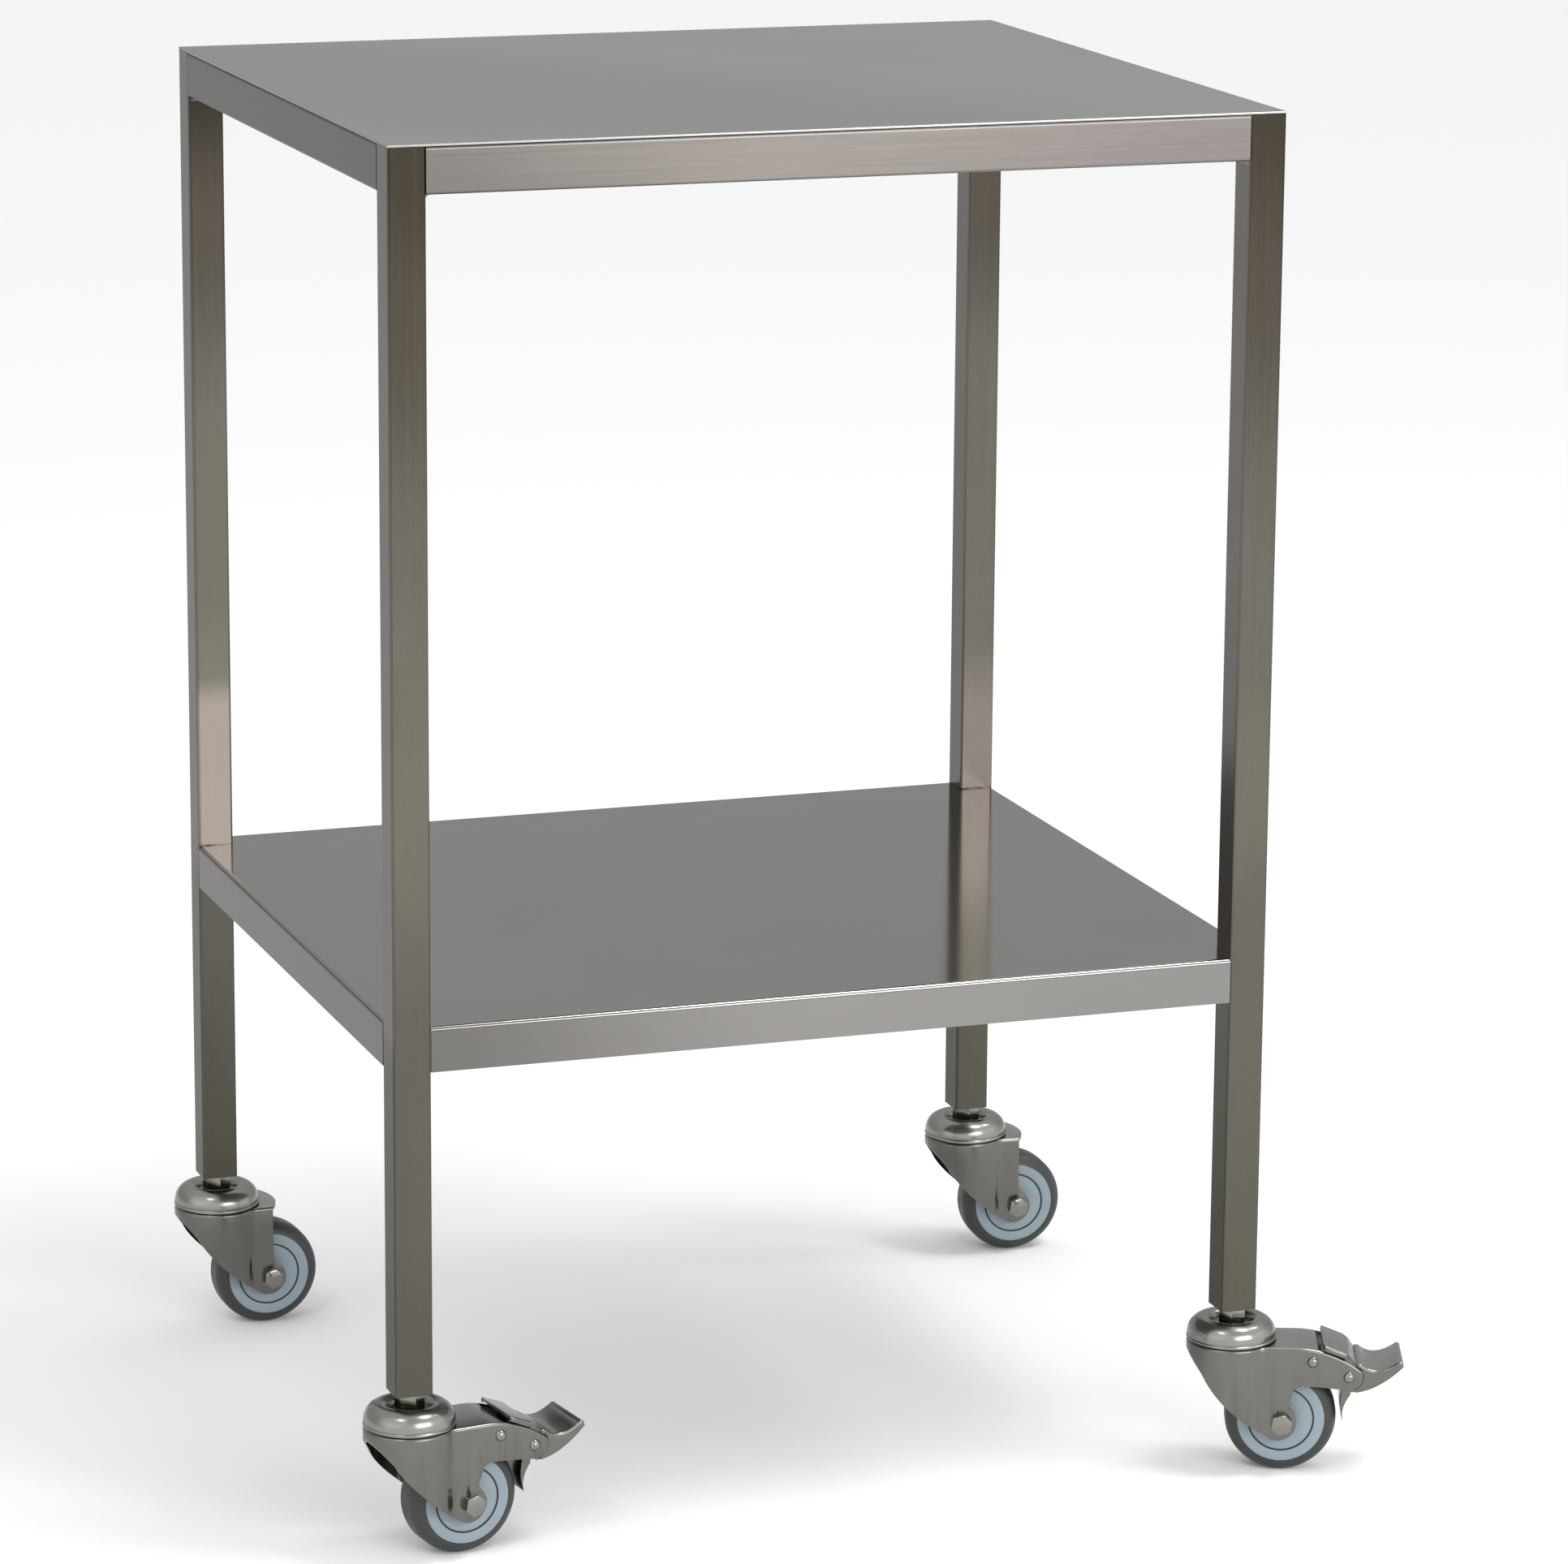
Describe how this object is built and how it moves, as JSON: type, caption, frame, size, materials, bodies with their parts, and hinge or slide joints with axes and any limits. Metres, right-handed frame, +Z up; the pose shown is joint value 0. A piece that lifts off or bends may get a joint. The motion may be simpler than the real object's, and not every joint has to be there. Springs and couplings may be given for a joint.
{
  "type": "instrument cart",
  "caption": "Welded square-tube steel cart with a flat worktop, a lower shelf with folded-down edges, and swivel casters, the front pair with foot brakes.",
  "frame": {"origin": "on the floor, under the middle of the footprint that the frame and the four casters cover at rest", "axes": "+Z up, +X along the long side to the right, -Y towards the front, where the braked casters are"},
  "size_m": [0.7208, 0.6006, 0.92],
  "materials": {
    "leg_steel": "satin, grain along the legs",
    "worktop_steel": "fine satin, grain along X",
    "rail_steel": "satin, grain along the rails",
    "shelf_steel": "half-polished satin",
    "caster_steel": "polished pressed sheet",
    "bright_steel": "bright",
    "hub_plastic": "semi-matte",
    "tyre_rubber": "smooth matte"
  },
  "bodies": {
    "frame": {"leg_fl": "leg_steel", "leg_fr": "leg_steel", "leg_bl": "leg_steel", "leg_br": "leg_steel", "top_sheet": "worktop_steel", "rail_front": "rail_steel", "rail_back": "rail_steel", "rail_left": "rail_steel", "rail_right": "rail_steel", "shelf": "shelf_steel", "leg_plugs": "bright_steel", "weld_beads": "rail_steel", "stem_fl": "bright_steel", "cap_fl": "caster_steel", "stem_fr": "bright_steel", "cap_fr": "caster_steel", "stem_bl": "bright_steel", "cap_bl": "caster_steel", "stem_br": "bright_steel", "cap_br": "caster_steel"},
    "fork_fl": {"race_fl": "caster_steel", "fork_fl": "caster_steel", "bolt_fl": "bright_steel", "nut_fl": "bright_steel", "sleeve_fl": "bright_steel", "rivets_fl": "bright_steel"},
    "wheel_fl": {"hub_fl": "hub_plastic", "tyre_fl": "tyre_rubber", "covers_fl": "hub_plastic"},
    "pedal_fl": {"pedal_fl": "caster_steel"},
    "blade_fl": {"blade_fl": "caster_steel"},
    "fork_fr": {"race_fr": "caster_steel", "fork_fr": "caster_steel", "bolt_fr": "bright_steel", "nut_fr": "bright_steel", "sleeve_fr": "bright_steel", "rivets_fr": "bright_steel"},
    "wheel_fr": {"hub_fr": "hub_plastic", "tyre_fr": "tyre_rubber", "covers_fr": "hub_plastic"},
    "pedal_fr": {"pedal_fr": "caster_steel"},
    "blade_fr": {"blade_fr": "caster_steel"},
    "fork_bl": {"race_bl": "caster_steel", "fork_bl": "caster_steel", "bolt_bl": "bright_steel", "nut_bl": "bright_steel", "sleeve_bl": "bright_steel"},
    "wheel_bl": {"hub_bl": "hub_plastic", "tyre_bl": "tyre_rubber", "covers_bl": "hub_plastic"},
    "fork_br": {"race_br": "caster_steel", "fork_br": "caster_steel", "bolt_br": "bright_steel", "nut_br": "bright_steel", "sleeve_br": "bright_steel"},
    "wheel_br": {"hub_br": "hub_plastic", "tyre_br": "tyre_rubber", "covers_br": "hub_plastic"}
  },
  "joints": [
    {"name": "swivel_fl", "type": "hinge", "parent": "frame", "child": "fork_fl", "pos_m": [-0.33, -0.238, 0.09], "axis": [0, 0, 1], "continuous": true},
    {"name": "roll_fl", "type": "hinge", "parent": "fork_fl", "child": "wheel_fl", "pos_m": [-0.29642, -0.23268, 0.0375], "axis": [-0.1564, 0.9877, 0], "continuous": true},
    {"name": "press_fl", "type": "hinge", "parent": "fork_fl", "child": "pedal_fl", "pos_m": [-0.25227, -0.22569, 0.0705], "axis": [-0.1564, 0.9877, 0], "range_deg": [0, 14]},
    {"name": "clamp_fl", "type": "hinge", "parent": "fork_fl", "child": "blade_fl", "pos_m": [-0.25227, -0.22569, 0.0705], "axis": [-0.1564, 0.9877, 0], "range_deg": [0, 6]},
    {"name": "swivel_fr", "type": "hinge", "parent": "frame", "child": "fork_fr", "pos_m": [0.245, -0.238, 0.09], "axis": [0, 0, 1], "continuous": true},
    {"name": "roll_fr", "type": "hinge", "parent": "fork_fr", "child": "wheel_fr", "pos_m": [0.27674, -0.25018, 0.0375], "axis": [0.3584, 0.9336, 0], "continuous": true},
    {"name": "press_fr", "type": "hinge", "parent": "fork_fr", "child": "pedal_fr", "pos_m": [0.31847, -0.2662, 0.0705], "axis": [0.3584, 0.9336, 0], "range_deg": [0, 14]},
    {"name": "clamp_fr", "type": "hinge", "parent": "fork_fr", "child": "blade_fr", "pos_m": [0.31847, -0.2662, 0.0705], "axis": [0.3584, 0.9336, 0], "range_deg": [0, 6]},
    {"name": "swivel_bl", "type": "hinge", "parent": "frame", "child": "fork_bl", "pos_m": [-0.33, 0.267, 0.09], "axis": [0, 0, 1], "continuous": true},
    {"name": "roll_bl", "type": "hinge", "parent": "fork_bl", "child": "wheel_bl", "pos_m": [-0.29602, 0.26819, 0.0375], "axis": [-0.0349, 0.9994, 0], "continuous": true},
    {"name": "swivel_br", "type": "hinge", "parent": "frame", "child": "fork_br", "pos_m": [0.245, 0.267, 0.09], "axis": [0, 0, 1], "continuous": true},
    {"name": "roll_br", "type": "hinge", "parent": "fork_br", "child": "wheel_br", "pos_m": [0.27892, 0.26463, 0.0375], "axis": [0.0698, 0.9976, 0], "continuous": true}
  ],
  "couplings": [
    {"joint": "clamp_fl", "follows": "press_fl", "ratio": 0.4},
    {"joint": "clamp_fr", "follows": "press_fr", "ratio": 0.4}
  ]
}
